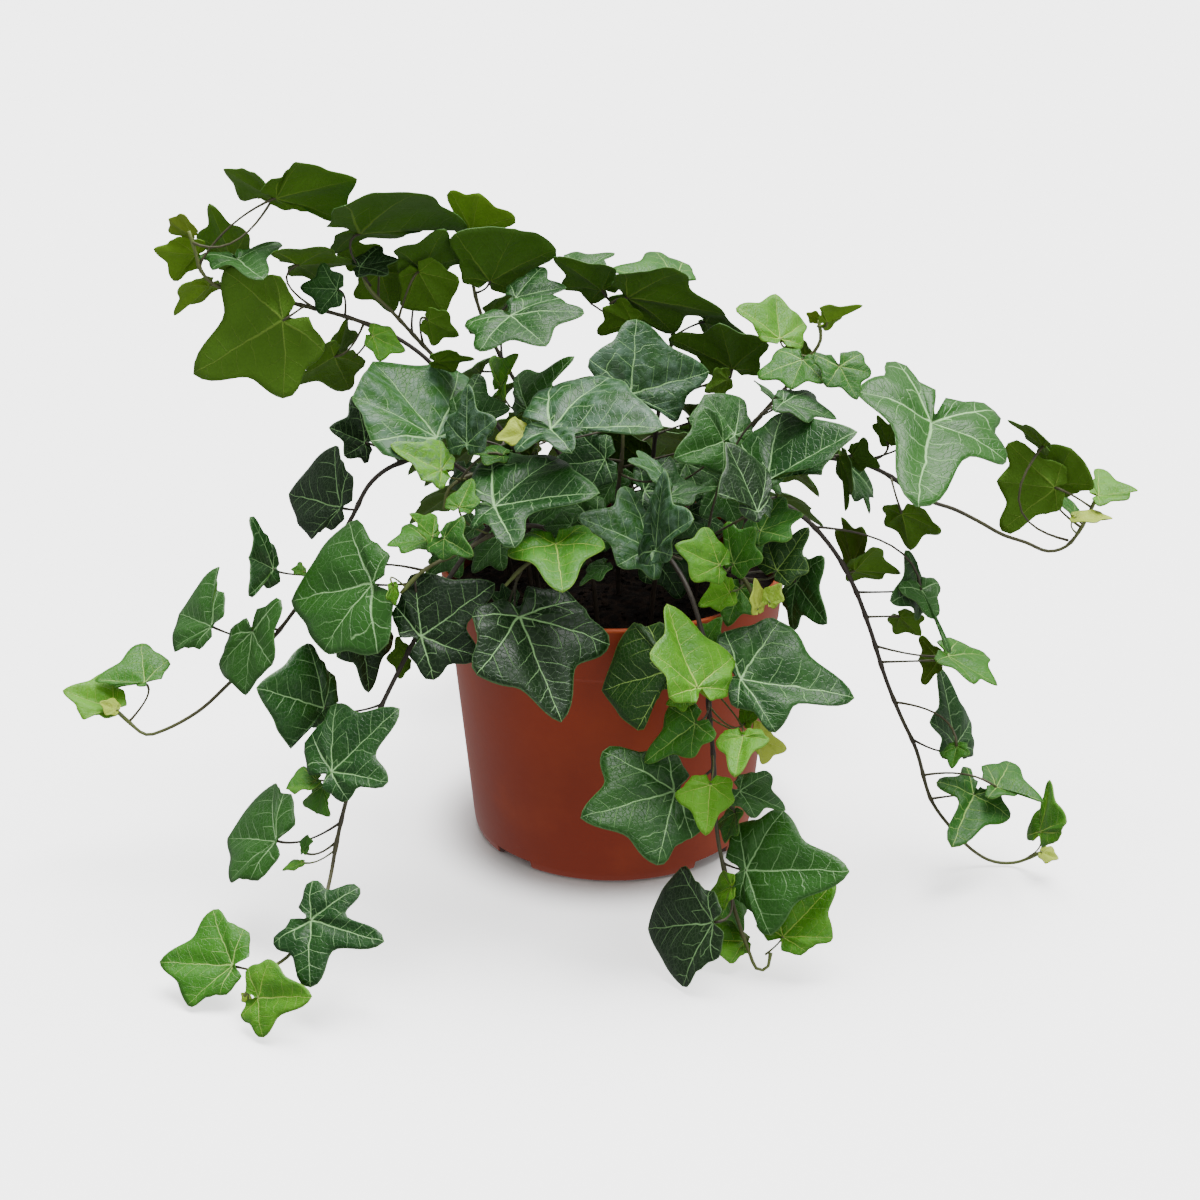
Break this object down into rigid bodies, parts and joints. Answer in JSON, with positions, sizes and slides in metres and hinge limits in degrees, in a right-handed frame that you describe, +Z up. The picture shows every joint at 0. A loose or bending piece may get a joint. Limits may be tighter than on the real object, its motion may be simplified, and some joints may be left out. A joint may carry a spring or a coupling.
{
  "type": "potted ivy",
  "caption": "Trailing ivy with lobed leaves on thin stems, growing from a tapered plastic nursery pot with a banded rim.",
  "frame": {"origin": "on the ground under the middle of the pot, which is the centre of the bounding box's underside to about 3 mm", "axes": "+Z up; -Y towards the viewer of the picture; +X to that viewer's right, along the plant's widest spread"},
  "size_m": [0.4022, 0.3287, 0.258],
  "materials": {
    "pot_plastic": "satin terracotta-brown moulded plastic",
    "potting_mix": "loose dark peat and bark crumbs",
    "stem_bark": "matt woody stem with its small green leaves",
    "leaf_old": "waxy dark green leaf with pale veins",
    "leaf_mid": "waxy mid green leaf with pale veins",
    "leaf_young": "soft bright green young leaf"
  },
  "bodies": {
    "root": {"crown_back": "stem_bark", "crown_back_leaf_1": "leaf_old", "crown_back_leaf_2": "leaf_old", "crown_back_leaf_3": "leaf_old", "crown_left": "stem_bark", "crown_left_leaf_1": "leaf_old", "crown_middle": "stem_bark", "crown_middle_leaf_1": "leaf_old", "crown_middle_leaf_2": "leaf_old", "crown_middle_leaf_3": "leaf_old", "crown_middle_leaf_4": "leaf_old", "crown_rear": "stem_bark", "crown_rear_leaf_1": "leaf_old", "crown_rear_leaf_2": "leaf_old", "crown_rear_leaf_3": "leaf_old", "crown_right": "stem_bark", "crown_right_leaf_1": "leaf_old", "far_left": "stem_bark", "far_left_leaf_1": "leaf_old", "far_right": "stem_bark", "far_right_leaf_1": "leaf_old", "front": "stem_bark", "front_leaf_1": "leaf_old", "front_leaf_2": "leaf_old", "front_leaf_3": "leaf_old", "front_leaf_4": "leaf_young", "front_leaf_5": "leaf_old", "front_leaf_6": "leaf_mid", "front_left": "stem_bark", "front_left_leaf_1": "leaf_old", "front_left_leaf_2": "leaf_old", "front_middle": "stem_bark", "front_middle_leaf_1": "leaf_old", "front_middle_leaf_2": "leaf_old", "front_middle_leaf_3": "leaf_young", "long_right": "stem_bark", "long_right_leaf_1": "leaf_old", "long_right_leaf_2": "leaf_mid", "lower_left": "stem_bark", "lower_left_leaf_1": "leaf_old", "lower_left_leaf_2": "leaf_old", "lower_left_leaf_3": "leaf_old", "lower_left_leaf_4": "leaf_mid", "pot": "pot_plastic", "right_top": "stem_bark", "soil": "potting_mix", "trail_back": "stem_bark", "trail_back_leaf_1": "leaf_old", "trail_back_leaf_2": "leaf_old", "trail_back_left": "stem_bark", "trail_back_left_leaf_1": "leaf_old", "trail_back_right": "stem_bark", "trail_back_right_leaf_1": "leaf_old", "upper_left": "stem_bark", "upper_left_leaf_1": "leaf_mid", "upper_left_leaf_2": "leaf_mid", "upper_middle": "stem_bark", "upper_middle_leaf_1": "leaf_old"}
  },
  "joints": []
}
